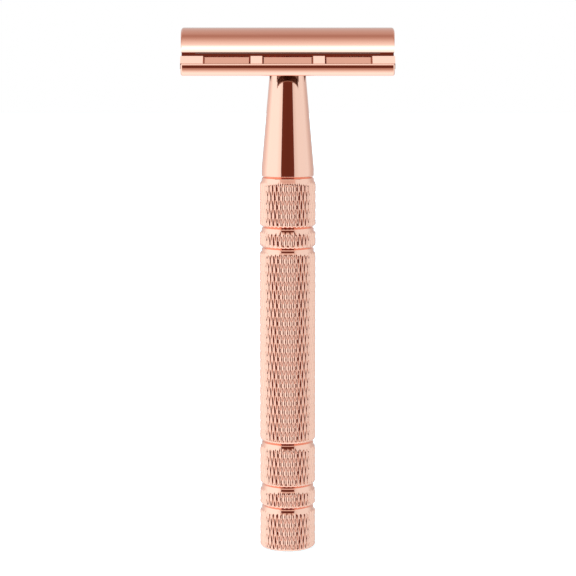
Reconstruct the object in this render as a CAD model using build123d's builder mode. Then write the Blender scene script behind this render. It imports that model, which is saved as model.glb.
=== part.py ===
from build123d import *
import os
from math import cos, degrees, radians, sin, sqrt

# A three-piece double-edge safety razor, standing on the end of its handle.
# Millimetres. +Z runs up the handle to the head, +X runs along the blade, and the
# origin is the middle of the handle's bottom end. The bodies are the handle, the base
# plate, the blade and the cap, shown screwed together.

os.makedirs("parts", exist_ok=True)

# ---- driving dimensions: standard blade and thread ----
blade_length = 43.0
blade_width = 22.1
blade_thickness = 0.1
blade_edge_length = 37.2
blade_tab_width = 15.2
blade_bevel = 0.8
blade_slot_length = 30.0
blade_slot_width = 1.9
blade_stud_radius = 3.1
blade_pin_radius = 1.9
notch_reach = 8.0
thread_diameter = 5.0
thread_clearance = 0.05

# ---- driving dimensions: head ----
crown_z = 109.75
lip_z = 104.6
lip_half_depth = 10.45
lip_thickness = 0.05
cap_length = 43.8
cap_end_radius = 130.0
cap_corner = 0.5
socket_depth = 1.8
stud_tip_chamfer = 0.6
clamp_radius = 24.0
clamp_gap = 0.03
bed_length = 42.8
tab_length = 43.2
bed_half_depth = 9.9
bed_thickness = 2.65
ledge_z = 103.9
ledge_edge = 10.85
wall_foot = 10.6
slope_foot = 12.05
bar_length = 43.0
bar_top_z = 102.4
bar_front = 12.9
bar_back = 11.6
bar_sweep = 2.4
bar_sweep_angle = 50.0
bar_edge = 0.5
bar_heel = 0.45
bar_back_drop = 0.9
bar_corner = 0.4
rib_inner = 5.15
rib_outer = 7.45
tab_inner = 17.05
rib_bevel = 0.35
rib_depth = 1.1
plate_hole_gap = 0.15
boss_radius = 5.6
boss_overlap = 1.0
pin_spacing = 21.0
pin_diameter = 3.0
pin_tip_z = 103.2
pin_tip_chamfer = 0.4

# ---- driving dimensions: handle ----
grip_radius = 5.9
land_radius = 5.5
groove_radius = 5.22
groove_levels = [9.02, 13.62, 22.87, 64.12, 68.42]
groove_undercut = 0.58
groove_cone = 0.27
groove_land = 0.47
groove_ramp = 0.50
grip_top_z = 78.85
foot_chamfer = 0.45
tube_bore = 4.0
neck_base_radius = 5.5
neck_edge = 0.35
neck_shoulder_z = 80.5
neck_top_z = 101.0
neck_top_radius = 3.68
spigot_depth = 7.0
stud_bore_relief = 1.2
rod_radius = 2.0
rod_chamfer = 0.4
rod_gap = 0.4
rod_entry = 2.0
rod_foot_gap = 0.5
plug_flange_radius = 4.7
plug_flange = 1.5
plug_depth = 7.0
slot_width = 1.2
slot_depth = 0.9

# ---- worked out from them ----
clamp_z = lip_z - sqrt(clamp_radius**2 - lip_half_depth**2)
blade_outer = clamp_radius - clamp_gap
blade_inner = blade_outer - blade_thickness
bed_radius = blade_inner - clamp_gap
bed_under_radius = bed_radius - bed_thickness
stud_radius = thread_diameter / 2
stud_turns = 11
thread_pitch = 0.8
stud_tip_z = neck_top_z - stud_turns * thread_pitch
cap_under_z = clamp_z + clamp_radius
socket_top_z = cap_under_z + socket_depth
spigot_z = grip_top_z - spigot_depth


def finish(piece, label):
    """Name a finished piece and write it to its own STEP file."""
    piece.part.label = label
    export_step(piece.part, f"parts/{label}.step")


def cap_half_length(y):
    """Half the cap's length at depth y, its ends being slightly bowed in plan."""
    return cap_length / 2 - cap_end_radius + sqrt(cap_end_radius**2 - y**2)


def height_on(radius, y):
    """Height at depth y of a clamping arc of this radius."""
    return clamp_z + sqrt(radius**2 - y**2)


# ---- cap: domed cover with an arched underside, socketed for its stud and pins ----
with BuildPart() as cap:
    with BuildSketch(Plane.YZ.offset(-cap_length / 2)):
        with BuildLine():
            dome = ThreePointArc(
                (-lip_half_depth, lip_z + lip_thickness),
                (0, crown_z),
                (lip_half_depth, lip_z + lip_thickness),
            )
            Line(dome @ 1, (lip_half_depth, lip_z))
            arch = ThreePointArc(
                (lip_half_depth, lip_z), (0, cap_under_z), (-lip_half_depth, lip_z)
            )
            Line(arch @ 1, dome @ 0)
        make_face()
    extrude(amount=cap_length)
    end_rims = cap.faces().filter_by(Axis.X).edges().group_by(Axis.Z)[-1]
    fillet(end_rims, cap_corner)
    plan_reach = lip_half_depth + 1
    corner = cap_half_length(plan_reach)
    with BuildSketch(Plane.XY.offset(lip_z)):
        with BuildLine():
            right_end = ThreePointArc(
                (corner, -plan_reach), (cap_length / 2, 0), (corner, plan_reach)
            )
            left_end = ThreePointArc(
                (-corner, plan_reach), (-cap_length / 2, 0), (-corner, -plan_reach)
            )
            Line(right_end @ 1, left_end @ 0)
            Line(left_end @ 1, right_end @ 0)
        make_face()
    extrude(amount=crown_z - lip_z, mode=Mode.INTERSECT)
    with Locations((0, 0, lip_z)):
        Cylinder(
            stud_radius,
            socket_top_z - lip_z,
            align=(Align.CENTER, Align.CENTER, Align.MIN),
            mode=Mode.SUBTRACT,
        )
    with GridLocations(pin_spacing, 0, 2, 1):
        with Locations((0, 0, lip_z)):
            Cylinder(
                pin_diameter / 2,
                socket_top_z - lip_z,
                align=(Align.CENTER, Align.CENTER, Align.MIN),
                mode=Mode.SUBTRACT,
            )
finish(cap, "cap")

# ---- cap stud: M5 screw seated in the cap, its thread shown as a plain shank ----
with BuildPart() as cap_stud:
    with Locations((0, 0, stud_tip_z)):
        Cylinder(
            stud_radius,
            socket_top_z - stud_tip_z,
            align=(Align.CENTER, Align.CENTER, Align.MIN),
        )
    chamfer(cap_stud.faces().sort_by(Axis.Z)[0].edges(), stud_tip_chamfer)
finish(cap_stud, "cap_stud")

# ---- locating pins: pressed into the cap, they square the blade on the plate ----
for side, name in ((-1, "locating_pin_left"), (1, "locating_pin_right")):
    with BuildPart() as pin:
        with Locations((side * pin_spacing / 2, 0, pin_tip_z)):
            Cylinder(
                pin_diameter / 2,
                socket_top_z - pin_tip_z,
                align=(Align.CENTER, Align.CENTER, Align.MIN),
            )
        chamfer(pin.faces().sort_by(Axis.Z)[0].edges(), pin_tip_chamfer)
    finish(pin, name)

# ---- blade: a standard double-edge blade bent to the clamping arc ----
blade_middle = (blade_outer + blade_inner) / 2
half_angle = degrees(blade_width / 2 / blade_middle)
bevel_angle = degrees(blade_bevel / blade_middle)
with BuildPart() as blade:
    with BuildSketch(Plane.YZ.offset(-blade_length / 2)):
        with BuildLine():
            upper = CenterArc(
                (0, clamp_z), blade_outer, 90 - half_angle + bevel_angle,
                2 * (half_angle - bevel_angle),
            )
            lower = CenterArc(
                (0, clamp_z), blade_inner, 90 - half_angle + bevel_angle,
                2 * (half_angle - bevel_angle),
            )
            for turn, end in ((90 - half_angle, 0), (90 + half_angle, 1)):
                edge = (
                    blade_middle * cos(radians(turn)),
                    clamp_z + blade_middle * sin(radians(turn)),
                )
                Line(upper @ end, edge)
                Line(edge, lower @ end)
        make_face()
    extrude(amount=blade_length)
    notch_length = (blade_length - blade_edge_length) / 2
    notch_spacing = blade_length - notch_length
    with BuildSketch(Plane.XY.offset(bar_top_z)):
        with GridLocations(notch_spacing, blade_tab_width + notch_reach, 2, 2):
            Rectangle(notch_length, notch_reach)
        SlotOverall(blade_slot_length, blade_slot_width)
        Circle(blade_stud_radius)
        with GridLocations(pin_spacing, 0, 2, 1):
            Circle(blade_pin_radius)
    extrude(amount=crown_z - bar_top_z, mode=Mode.SUBTRACT)
finish(blade, "blade")

# ---- base plate: arched bed, sloping ribs and a rolled guard bar on each side ----
with BuildPart() as base_plate:
    with BuildSketch(Plane.YZ.offset(-bed_length / 2)):
        with BuildLine():
            bed = ThreePointArc(
                (-bed_half_depth, height_on(bed_radius, bed_half_depth)),
                (0, clamp_z + bed_radius),
                (bed_half_depth, height_on(bed_radius, bed_half_depth)),
            )
            wall = Polyline(
                bed @ 1,
                (bed_half_depth, ledge_z),
                (wall_foot, bar_top_z),
                (wall_foot, height_on(bed_under_radius, wall_foot)),
            )
            under = ThreePointArc(
                wall @ 1,
                (0, clamp_z + bed_under_radius),
                (-wall_foot, height_on(bed_under_radius, wall_foot)),
            )
            Polyline(
                under @ 1, (-wall_foot, bar_top_z), (-bed_half_depth, ledge_z), bed @ 0
            )
        make_face()
    extrude(amount=bed_length)

    # the two guard bars: tight roll at the top front, long sweep below it
    sweep_y = bar_front - bar_sweep
    sweep_z = bar_top_z - bar_edge
    heel_y = sweep_y + (bar_sweep - bar_heel) * cos(radians(bar_sweep_angle))
    heel_z = sweep_z - (bar_sweep - bar_heel) * sin(radians(bar_sweep_angle))
    with BuildSketch(Plane.YZ.offset(-bar_length / 2)):
        with BuildLine():
            roll = CenterArc((bar_front - bar_edge, sweep_z), bar_edge, 90, -90)
            CenterArc((sweep_y, sweep_z), bar_sweep, 0, -bar_sweep_angle)
            heel = CenterArc((heel_y, heel_z), bar_heel, -bar_sweep_angle, -90)
            Polyline(
                heel @ 1,
                (bar_back, bar_top_z - bar_back_drop),
                (bar_back, bar_top_z),
                roll @ 0,
            )
        make_face()
        mirror(about=Plane.YZ)
    extrude(amount=bar_length)
    bar_faces = base_plate.faces(Select.LAST).filter_by(Axis.X)
    fillet(bar_faces.edges(), bar_corner)

    # ribs and end tabs carry the bars, sloping down from the blade's edge
    rib_width = rib_outer - rib_inner + 2 * rib_bevel
    tab_width = tab_length / 2 - tab_inner + rib_bevel
    rib_middle = (rib_inner + rib_outer) / 2
    tab_middle = (tab_length - tab_width) / 2
    for middle, width in ((rib_middle, rib_width), (tab_middle, tab_width)):
        for side in (-1, 1):
            with BuildSketch(Plane.YZ.offset(side * middle - width / 2)):
                with BuildLine():
                    Polyline(
                        (bed_half_depth - 1, ledge_z),
                        (ledge_edge, ledge_z),
                        (slope_foot, bar_top_z),
                        (slope_foot, bar_top_z - rib_depth),
                        (bed_half_depth - 1, bar_top_z - rib_depth),
                        close=True,
                    )
                make_face()
                mirror(about=Plane.YZ)
            extrude(amount=width)

    # their edges are bevelled where they border a window
    borders = base_plate.edges().filter_by(
        lambda edge: abs(edge.tangent_at(0.5).X) < 0.1
        and bed_half_depth < abs(edge.center().Y) < slope_foot
        and edge.center().Z > bar_top_z
        and abs(edge.center().X) < tab_inner
        and abs(edge.tangent_at(0.5).Y) > 0.5
    )
    chamfer(borders, rib_bevel)

    # boss under the bed that the neck is drawn up against, and the holes
    with Locations((0, 0, neck_top_z)):
        Cylinder(
            boss_radius,
            clamp_z + bed_under_radius + boss_overlap - neck_top_z,
            align=(Align.CENTER, Align.CENTER, Align.MIN),
        )
    with Locations((0, 0, clamp_z + bed_radius)):
        Hole(stud_radius + plate_hole_gap)
    with Locations((0, 0, clamp_z + bed_radius)):
        with GridLocations(pin_spacing, 0, 2, 1):
            Hole(pin_diameter / 2 + thread_clearance)
finish(base_plate, "base_plate")

# ---- neck: polished cone, tapped for the cap stud above and for the tie rod below ----
stud_bore_depth = neck_top_z - stud_tip_z + stud_bore_relief
rod_top_z = grip_top_z + rod_entry
with BuildPart() as neck:
    with BuildSketch(Plane.XZ):
        with BuildLine():
            Polyline(
                (0, spigot_z),
                (tube_bore, spigot_z),
                (tube_bore, grip_top_z),
                (groove_radius, grip_top_z),
                (neck_base_radius, grip_top_z + neck_edge),
                (neck_base_radius, neck_shoulder_z),
                (neck_top_radius, neck_top_z),
                (0, neck_top_z),
                close=True,
            )
        make_face()
    revolve(axis=Axis.Z)
    with Locations((0, 0, neck_top_z)):
        Hole(stud_radius + thread_clearance, depth=stud_bore_depth)
    with Locations((0, 0, spigot_z)):
        Cylinder(
            rod_radius,
            rod_top_z + rod_gap - spigot_z,
            align=(Align.CENTER, Align.CENTER, Align.MIN),
            mode=Mode.SUBTRACT,
        )
finish(neck, "neck")

# ---- grip: one turned tube with five grooves, its crests at grip_radius ----
outline = [
    (tube_bore, plug_flange),
    (plug_flange_radius, plug_flange),
    (plug_flange_radius, 0),
    (grip_radius - foot_chamfer, 0),
    (grip_radius, foot_chamfer),
]
for level in groove_levels + [grip_top_z]:
    outline += [
        (grip_radius, level - groove_cone - groove_land - groove_ramp),
        (land_radius, level - groove_cone - groove_land),
        (land_radius, level - groove_cone),
        (groove_radius, level),
        (grip_radius, level + groove_undercut),
    ]
outline[-1] = (tube_bore, grip_top_z)
with BuildPart() as grip:
    with BuildSketch(Plane.XZ):
        with BuildLine():
            Polyline(*outline, close=True)
        make_face()
    revolve(axis=Axis.Z)
finish(grip, "grip")

# ---- tie rod: threaded rod that draws neck, grip tube and end plug together ----
rod_foot_z = plug_flange + rod_foot_gap
with BuildPart() as tie_rod:
    with Locations((0, 0, rod_foot_z)):
        Cylinder(
            rod_radius,
            rod_top_z - rod_foot_z,
            align=(Align.CENTER, Align.CENTER, Align.MIN),
        )
    chamfer(tie_rod.faces().filter_by(Axis.Z).edges(), rod_chamfer)
finish(tie_rod, "tie_rod")

# ---- end plug: flanged nut with a screwdriver slot, closing the foot of the tube ----
with BuildPart() as end_plug:
    Cylinder(
        plug_flange_radius, plug_flange, align=(Align.CENTER, Align.CENTER, Align.MIN)
    )
    Cylinder(tube_bore, plug_depth, align=(Align.CENTER, Align.CENTER, Align.MIN))
    with Locations((0, 0, plug_depth)):
        Hole(rod_radius, depth=plug_depth - rod_foot_z)
    Box(2 * plug_flange_radius, slot_width, 2 * slot_depth, mode=Mode.SUBTRACT)
finish(end_plug, "end_plug")
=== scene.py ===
import math

import bpy
from mathutils import Euler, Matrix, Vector


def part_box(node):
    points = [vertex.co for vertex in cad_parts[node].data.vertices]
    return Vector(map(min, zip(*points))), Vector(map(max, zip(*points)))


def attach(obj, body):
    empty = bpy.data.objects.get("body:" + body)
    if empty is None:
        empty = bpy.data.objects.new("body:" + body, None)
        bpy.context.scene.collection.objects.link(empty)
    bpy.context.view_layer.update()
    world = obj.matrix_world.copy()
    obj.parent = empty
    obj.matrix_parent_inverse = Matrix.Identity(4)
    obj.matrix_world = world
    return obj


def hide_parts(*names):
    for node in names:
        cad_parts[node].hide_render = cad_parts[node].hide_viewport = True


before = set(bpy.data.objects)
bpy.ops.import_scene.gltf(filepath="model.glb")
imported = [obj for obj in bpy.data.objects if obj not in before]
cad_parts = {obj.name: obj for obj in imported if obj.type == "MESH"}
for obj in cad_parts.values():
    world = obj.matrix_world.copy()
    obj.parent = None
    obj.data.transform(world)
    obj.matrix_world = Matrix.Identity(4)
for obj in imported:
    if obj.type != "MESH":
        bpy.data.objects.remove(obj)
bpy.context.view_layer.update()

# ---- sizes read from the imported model, in metres ----
MM = 0.001
grip_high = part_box("grip")[1]
grip_radius = grip_high.x
grip_top = grip_high.z
plug_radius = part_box("end_plug")[1].x
plate_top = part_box("base_plate")[1].z
stud_low, stud_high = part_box("cap_stud")

# ---- sizes of the grip that the box doesn't give ----
tube_bore = 4.0 * MM
plug_flange = 1.5 * MM
foot_chamfer = 0.45 * MM
land_radius = 5.5 * MM
groove_radius = 5.22 * MM
groove_levels = [9.02 * MM, 13.62 * MM, 22.87 * MM, 64.12 * MM, 68.42 * MM]
groove_undercut = 0.58 * MM
groove_cone = 0.27 * MM
groove_land = 0.47 * MM
groove_ramp = 0.50 * MM

# ---- knurl: two families of cuts, each moving round by one cut over its pitch ----
knurl_starts = 38
knurl_steps = 6
knurl_depth = 0.26 * MM
knurl_pitch_right = 3.45 * MM
knurl_pitch_left = 4.08 * MM
grip_sharp_angle = 62

# ---- cap stud's thread ----
thread_pitch = 0.8 * MM
thread_depth = 0.45 * MM
thread_rows = 12
thread_columns = 64
flank_slope = 1.35
crest_flat = 0.15
tip_length = 0.7 * MM
tip_drop = 0.55 * MM
closed_end = 0.0003 * MM
stud_sharp_angle = 50

# ---- hollow under the base plate ----
arch_axis_z = 83.0 * MM
arch_reach = 22.05 * MM
bar_back_y = 11.65 * MM


# ---- mesh helpers ----
def turned(name, stations, columns, radius_at, twist_at=None):
    """A closed ring of stations (z, radius limit) swept round Z, with its own UV layer for baking.

    radius_at(angle, z, limit) gives the radius, and twist_at(z) turns a whole station."""
    vertices = []
    for z, limit in stations:
        twist = twist_at(z) if twist_at else 0.0
        for column in range(columns):
            angle = 2 * math.pi * column / columns + twist
            radius = radius_at(angle, z, limit)
            vertices.append((radius * math.sin(angle), -radius * math.cos(angle), z))
    count = len(stations)
    faces = []
    corners = []
    along = [0.0]
    for here, there in zip(stations, stations[1:] + stations[:1]):
        along.append(along[-1] + math.dist(here, there))
    for row in range(count):
        above = (row + 1) % count
        for column in range(columns):
            beside = (column + 1) % columns
            # row and column of the vertex, then the same two counted on past the seams, for the UV
            square = [
                (row, column, row, column),
                (row, beside, row, column + 1),
                (above, beside, row + 1, column + 1),
                (above, column, row + 1, column),
            ]
            for triangle in ((0, 1, 2), (0, 2, 3)):
                faces.append([square[k][0] * columns + square[k][1] for k in triangle])
                corners += [
                    (square[k][3] / columns, along[square[k][2]] / along[-1])
                    for k in triangle
                ]
    mesh = bpy.data.meshes.new(name)
    mesh.from_pydata(vertices, [], faces)
    layer = mesh.uv_layers.new(name="OFBake")
    for loop, uv in zip(layer.data, corners):
        loop.uv = uv
    piece = bpy.data.objects.new(name, mesh)
    bpy.context.scene.collection.objects.link(piece)
    return piece


def shade(piece, angle):
    """Smooth shading, kept sharp where faces meet at more than this angle in degrees."""
    piece.data.shade_smooth()
    piece.data.set_sharp_from_angle(angle=math.radians(angle))


def vee(turns):
    """Depth of a run of cuts, from 1 at each sharp bottom to 0 on the rounded crest between."""
    return (2 * (turns % 1) - 1) ** 2


# ---- knurled grip ----
def grip_outline():
    """Outer profile of the grip without its knurl: (z, radius) from the foot to the top."""
    points = [(0.0, grip_radius - foot_chamfer), (foot_chamfer, grip_radius)]
    for level in groove_levels + [grip_top]:
        points += [
            (level - groove_cone - groove_land - groove_ramp, grip_radius),
            (level - groove_cone - groove_land, land_radius),
            (level - groove_cone, land_radius),
            (level, groove_radius),
            (level + groove_undercut, grip_radius),
        ]
    return points[:-1]


def knurl_radius(angle, z, limit):
    """Radius of the knurled surface, or of the turned outline where that lies deeper."""
    round_turns = knurl_starts * angle / (2 * math.pi)
    cut = max(vee(round_turns + z / knurl_pitch_right), vee(round_turns - z / knurl_pitch_left))
    return min(limit, grip_radius - knurl_depth * cut)


def make_grip():
    """Knurled tube, open at the foot for the end plug."""
    # stations lie where the two families of cuts cross, so that mesh edges follow the cuts,
    # and one that comes too near a corner of the outline is left out
    rise = 1 / (1 / knurl_pitch_right + 1 / knurl_pitch_left) / knurl_steps
    least_gap = rise / 3
    outline = grip_outline()
    stations = []
    for (z, radius), (next_z, next_radius) in zip(outline, outline[1:]):
        stations.append((z, radius))
        first = math.ceil(z / rise)
        last = math.floor(next_z / rise)
        for step in range(first, last + 1):
            level = step * rise
            if min(level - z, next_z - level) > least_gap:
                share = (level - z) / (next_z - z)
                stations.append((level, radius + share * (next_radius - radius)))
    stations.append(outline[-1])
    stations += [
        (grip_top, tube_bore),
        (plug_flange, tube_bore),
        (plug_flange, plug_radius),
        (0.0, plug_radius),
    ]

    def radius_at(angle, z, limit):
        if limit <= plug_radius:
            return limit
        return knurl_radius(angle, z, limit)

    grip = turned(
        "grip_knurled",
        stations,
        knurl_starts * knurl_steps,
        radius_at,
        lambda z: -2 * math.pi / knurl_starts * z / knurl_pitch_right,
    )
    shade(grip, grip_sharp_angle)
    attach(grip, "handle")
    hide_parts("grip")
    return grip


# ---- threaded cap stud ----
def make_stud():
    """Cap stud with a helical thread that fades out inside the head."""
    radius = stud_high.x
    stations = [(stud_low.z, closed_end), (stud_low.z, radius - tip_drop)]
    step = thread_pitch / thread_rows
    count = round((stud_high.z - stud_low.z) / step)
    for index in range(1, count):
        z = stud_low.z + index * step
        tip = min(1.0, (z - stud_low.z) / tip_length)
        stations.append((z, radius - tip_drop * (1 - tip)))
    stations += [(stud_high.z, radius), (stud_high.z, closed_end)]

    def radius_at(angle, z, limit):
        if limit <= closed_end:
            return limit
        fade = min(1.0, max(0.0, (plate_top - z) / thread_pitch))
        wave = abs(2 * ((z / thread_pitch - angle / (2 * math.pi)) % 1) - 1)
        cut = min(1.0, max(0.0, wave * flank_slope - crest_flat))
        return min(limit, radius - thread_depth * cut * fade)

    stud = turned("cap_stud_threaded", stations, thread_columns, radius_at)
    shade(stud, stud_sharp_angle)
    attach(stud, "cap")
    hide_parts("cap_stud")
    return stud


grip = make_grip()
stud = make_stud()


# ---- node helpers ----
def math_node(tree, operation, *inputs):
    """One step of arithmetic on numbers and other nodes' outputs."""
    node = tree.nodes.new("ShaderNodeMath")
    node.operation = operation
    for place, value in enumerate(inputs):
        if isinstance(value, (int, float)):
            node.inputs[place].default_value = value
        else:
            tree.links.new(value, node.inputs[place])
    return node.outputs[0]


def map_range(tree, value, start, end, low, high, smooth=False):
    """A value going from low to high while the given one goes from start to end."""
    node = tree.nodes.new("ShaderNodeMapRange")
    if smooth:
        node.interpolation_type = "SMOOTHSTEP"
    node.inputs["From Min"].default_value = start
    node.inputs["From Max"].default_value = end
    node.inputs["To Min"].default_value = low
    node.inputs["To Max"].default_value = high
    tree.links.new(value, node.inputs["Value"])
    return node.outputs["Result"]


def noise(tree, scale, detail, stretch=(1, 1, 1)):
    """Noise in object space, in cells per metre, stretched along an axis."""
    place = tree.nodes.new("ShaderNodeTexCoord")
    mapping = tree.nodes.new("ShaderNodeMapping")
    mapping.inputs["Scale"].default_value = stretch
    texture = tree.nodes.new("ShaderNodeTexNoise")
    texture.inputs["Scale"].default_value = scale
    texture.inputs["Detail"].default_value = detail
    tree.links.new(place.outputs["Object"], mapping.inputs["Vector"])
    tree.links.new(mapping.outputs["Vector"], texture.inputs["Vector"])
    return texture.outputs["Fac"]


# ---- materials ----
rose_gold = (0.90, 0.38, 0.265)
# painted shade: dark brown base colour for the hollow under the plate, where shade falls
hollow_painted_shade = (0.25, 0.13, 0.095)
underside_roughness = 0.38

smear_scale = 180
smear_detail = 4
line_scale = 900
line_detail = 6
line_height = 0.01 * MM
noise_low = 0.3
noise_high = 0.7


def fresh_material(name):
    """A new material and its principled shader."""
    material = bpy.data.materials.new(name)
    material.use_nodes = True
    return material, material.node_tree.nodes["Principled BSDF"]


def metal(name, colour, roughness, bump, line_stretch):
    """Plated or bare metal: smears in its gloss and fine polishing lines in its surface."""
    material, shader = fresh_material(name)
    tree = material.node_tree
    shader.inputs["Metallic"].default_value = 1.0
    shader.inputs["Base Color"].default_value = (*colour, 1)
    smear = noise(tree, smear_scale, smear_detail)
    gloss = map_range(tree, smear, noise_low, noise_high, *roughness)
    tree.links.new(gloss, shader.inputs["Roughness"])
    lines = noise(tree, line_scale, line_detail, line_stretch)
    relief = tree.nodes.new("ShaderNodeBump")
    relief.inputs["Strength"].default_value = bump
    relief.inputs["Distance"].default_value = line_height
    tree.links.new(lines, relief.inputs["Height"])
    tree.links.new(relief.outputs["Normal"], shader.inputs["Normal"])
    return material


def paint_shade_in_hollow(material):
    """Paint shade into the hollow under the plate, between the guard bars: a dark brown base colour
    there (painted shade), and a rougher, unpolished finish.
    """
    tree = material.node_tree
    shader = tree.nodes["Principled BSDF"]
    place = tree.nodes.new("ShaderNodeTexCoord")
    parts = tree.nodes.new("ShaderNodeSeparateXYZ")
    tree.links.new(place.outputs["Object"], parts.inputs[0])

    # inside the hollow is behind both bars and nearer to the arch's axis than its surface
    depth = math_node(tree, "ABSOLUTE", parts.outputs["Y"])
    height = math_node(tree, "SUBTRACT", parts.outputs["Z"], arch_axis_z)
    squares = [math_node(tree, "POWER", length, 2.0) for length in (depth, height)]
    reach = math_node(tree, "SQRT", math_node(tree, "ADD", *squares))
    behind_bars = math_node(tree, "LESS_THAN", depth, bar_back_y)
    under_arch = math_node(tree, "LESS_THAN", reach, arch_reach)
    inside = math_node(tree, "MULTIPLY", behind_bars, under_arch)

    # painted shade: the base colour turns dark brown inside the hollow
    painted_shade_mix = tree.nodes.new("ShaderNodeMix")
    painted_shade_mix.data_type = "RGBA"
    tree.links.new(inside, painted_shade_mix.inputs["Factor"])
    painted_shade_mix.inputs["A"].default_value = (*rose_gold, 1)
    painted_shade_mix.inputs["B"].default_value = (*hollow_painted_shade, 1)
    tree.links.new(painted_shade_mix.outputs["Result"], shader.inputs["Base Color"])
    gloss = shader.inputs["Roughness"].links[0].from_socket
    dull = math_node(tree, "MULTIPLY", inside, underside_roughness)
    tree.links.new(math_node(tree, "MAXIMUM", gloss, dull), shader.inputs["Roughness"])


polish = {"colour": rose_gold, "roughness": (0.03, 0.08), "bump": 0.05}
polished_cap = metal("rose_gold_cap", line_stretch=(0.15, 1, 1), **polish)
polished_plate = metal("rose_gold_plate", line_stretch=(0.15, 1, 1), **polish)
# painted shade in the hollow under the plate, plus a rougher finish there
paint_shade_in_hollow(polished_plate)
polished_turned = metal("rose_gold_turned", line_stretch=(1, 1, 8), **polish)
knurled = metal(
    "rose_gold_knurled", rose_gold, roughness=(0.05, 0.10), bump=0.12, line_stretch=(1, 1, 4)
)
blade_steel = metal(
    "blade_steel", (0.36, 0.35, 0.35), roughness=(0.10, 0.18), bump=0.2, line_stretch=(0.2, 6, 6)
)
stud_steel = metal(
    "turned_steel", (0.50, 0.49, 0.48), roughness=(0.16, 0.28), bump=0.2, line_stretch=(1, 1, 8)
)


def paint(piece, material):
    """Give a new piece its only material."""
    piece.data.materials.clear()
    piece.data.materials.append(material)


def paint_node(name, material):
    """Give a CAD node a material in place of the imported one."""
    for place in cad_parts[name].material_slots:
        place.material = material


paint(grip, knurled)
paint(stud, stud_steel)
paint_node("cap", polished_cap)
paint_node("base_plate", polished_plate)
paint_node("neck", polished_turned)
paint_node("end_plug", polished_turned)
paint_node("blade", blade_steel)
for name in ("locating_pin_left", "locating_pin_right", "tie_rod"):
    paint_node(name, stud_steel)


# ---- floor ----
def make_floor():
    """Plain white floor, kept out of the reflections so that its edge doesn't show in the metal."""
    half = 3.0
    mesh = bpy.data.meshes.new("floor")
    corners = [(-half, -half, 0), (half, -half, 0), (half, half, 0), (-half, half, 0)]
    mesh.from_pydata(corners, [], [(0, 1, 2, 3)])
    floor = bpy.data.objects.new("floor", mesh)
    bpy.context.scene.collection.objects.link(floor)
    material, shader = fresh_material("floor_white")
    shader.inputs["Base Color"].default_value = (0.9, 0.9, 0.9, 1)
    shader.inputs["Roughness"].default_value = 0.8
    shader.inputs["Emission Color"].default_value = (1, 1, 1, 1)
    shader.inputs["Emission Strength"].default_value = 0.35
    mesh.materials.append(material)
    floor.visible_glossy = False


make_floor()


# ---- studio light ----
# The light comes from the world: two large side panels, a strip overhead, a white sweep
# behind and below, and the unlit gap where the camera stands.

# a ramp holds colours from 0 to 1, so it keeps each light at a fifth of its strength
ramp_strength = 5.0

red_gain = 0.83
red_power = 0.6
blue_gain = 1.05
blue_power = 1.15

# (degrees round the X axis, level): -90 is below, 0 the camera, 90 overhead, 180 behind
middle_lights = [
    (-180, 0.75), (-90, 1.95), (-77, 2.1), (-65, 1.9), (-54, 1.5), (-44, 1.05),
    (-35, 0.68), (-21, 0.42), (-18, 0.05), (0, 0.06), (24, 0.05), (28, 0.6),
    (36, 0.9), (50, 1.0), (72, 1.6), (77, 1.8), (80, 2.1), (83, 3.0), (88, 3.1),
    (92, 2.0), (95, 1.55), (100, 1.3), (105, 1.0), (111.5, 0.65), (118, 0.43),
    (122, 0.43), (128, 0.58), (139, 0.64), (151, 0.68), (180, 0.75),
]
middle_edge = 0.5
middle_edge_gain = 1.1

# (degrees round the Z axis from the camera, level), the same on both sides
panel_lights = [
    (0, 1.65), (32, 1.65), (50, 2.0), (100, 2.0), (115, 1.6), (130, 1.2), (180, 0.7),
]
panel_from = 0.47
panel_full = 0.50
right_panel_gain = 0.8
side_change = 0.1


def light_colour(level):
    """Colour of a light of this level, a little cooler as it gets brighter."""
    red = red_gain * level**red_power
    blue = blue_gain * level**blue_power
    return (red / ramp_strength, level / ramp_strength, blue / ramp_strength, 1.0)


def light_ramp(tree, position, lights):
    """Light colours laid out between the first and last angle of a list of lights."""
    node = tree.nodes.new("ShaderNodeValToRGB")
    elements = node.color_ramp.elements
    low = lights[0][0]
    high = lights[-1][0]
    elements[0].color = light_colour(lights[0][1])
    elements[1].color = light_colour(lights[-1][1])
    for degrees, level in lights[1:-1]:
        elements.new((degrees - low) / (high - low)).color = light_colour(level)
    tree.links.new(position, node.inputs["Fac"])
    return node.outputs["Color"]


def scaled(tree, colour, factor):
    """A colour made brighter or dimmer by another node's output."""
    node = tree.nodes.new("ShaderNodeVectorMath")
    node.operation = "SCALE"
    tree.links.new(colour, node.inputs[0])
    tree.links.new(factor, node.inputs["Scale"])
    return node.outputs["Vector"]


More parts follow.
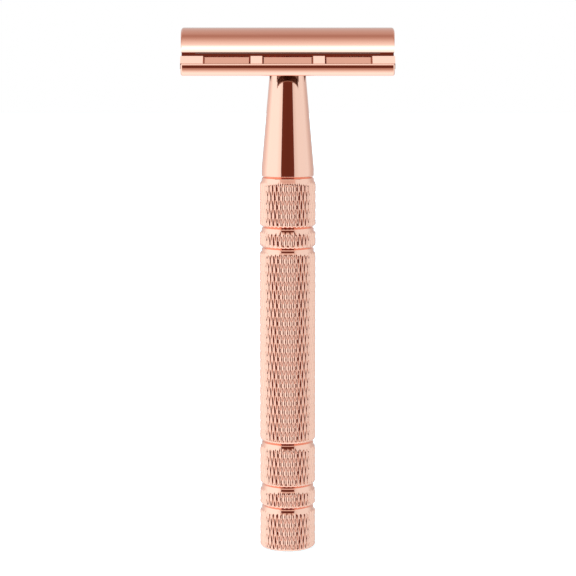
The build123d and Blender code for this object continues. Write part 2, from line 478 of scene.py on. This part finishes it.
def make_light():
    """World light laid out by direction, with plain white for the camera itself."""
    world = bpy.data.worlds.new("studio")
    bpy.context.scene.world = world
    world.use_nodes = True
    tree = world.node_tree
    nodes, links = tree.nodes, tree.links
    nodes.clear()

    place = nodes.new("ShaderNodeTexCoord")
    parts = nodes.new("ShaderNodeSeparateXYZ")
    links.new(place.outputs["Generated"], parts.inputs[0])
    x, y, z = parts.outputs
    forward = math_node(tree, "MULTIPLY", y, -1.0)
    outwards = math_node(tree, "ABSOLUTE", x)

    # middle lights, by the turn round the X axis, growing a little towards the sides
    turns = math_node(tree, "DIVIDE", math_node(tree, "ARCTAN2", z, forward), 2 * math.pi)
    middle = light_ramp(tree, math_node(tree, "ADD", turns, 0.5), middle_lights)
    growth = map_range(
        tree, outwards, 0.0, middle_edge, ramp_strength, middle_edge_gain * ramp_strength
    )
    middle = scaled(tree, middle, growth)

    # side panels, by the turn away from the camera, the right one weaker
    half_turns = math_node(tree, "DIVIDE", math_node(tree, "ARCTAN2", outwards, forward), math.pi)
    panels = light_ramp(tree, half_turns, panel_lights)
    side = map_range(
        tree, x, -side_change, side_change, ramp_strength, right_panel_gain * ramp_strength
    )
    panels = scaled(tree, panels, side)

    # the panels take over a little way out from the middle
    share = map_range(tree, outwards, panel_from, panel_full, 0.0, 1.0, smooth=True)
    studio = nodes.new("ShaderNodeVectorMath")
    studio.operation = "ADD"
    rest = math_node(tree, "SUBTRACT", 1.0, share)
    links.new(scaled(tree, middle, rest), studio.inputs[0])
    links.new(scaled(tree, panels, share), studio.inputs[1])

    lit = nodes.new("ShaderNodeBackground")
    links.new(studio.outputs["Vector"], lit.inputs["Color"])
    white = nodes.new("ShaderNodeBackground")
    white.inputs["Color"].default_value = (1, 1, 1, 1)
    rays = nodes.new("ShaderNodeLightPath")
    choice = nodes.new("ShaderNodeMixShader")
    links.new(rays.outputs["Is Camera Ray"], choice.inputs[0])
    links.new(lit.outputs[0], choice.inputs[1])
    links.new(white.outputs[0], choice.inputs[2])
    output = nodes.new("ShaderNodeOutputWorld")
    links.new(choice.outputs[0], output.inputs["Surface"])


make_light()


# ---- camera ----
def make_camera():
    """Camera level with the head, looking slightly down at the middle of the handle."""
    pitch = math.radians(7.3)
    distance = 0.379
    aim = Vector((0, 0, 0.05546))
    shift_pixels = 0.3
    image_width = 576
    data = bpy.data.cameras.new("camera")
    data.lens = 112.5
    data.sensor_width = 36.0
    data.shift_x = shift_pixels / image_width
    data.clip_start = 0.01
    camera = bpy.data.objects.new("camera", data)
    camera.location = aim + distance * Vector((0, -math.cos(pitch), math.sin(pitch)))
    camera.rotation_euler = Euler((math.pi / 2 - pitch, 0, 0))
    bpy.context.scene.collection.objects.link(camera)
    bpy.context.scene.camera = camera


make_camera()
bpy.context.scene.view_settings.view_transform = "Standard"
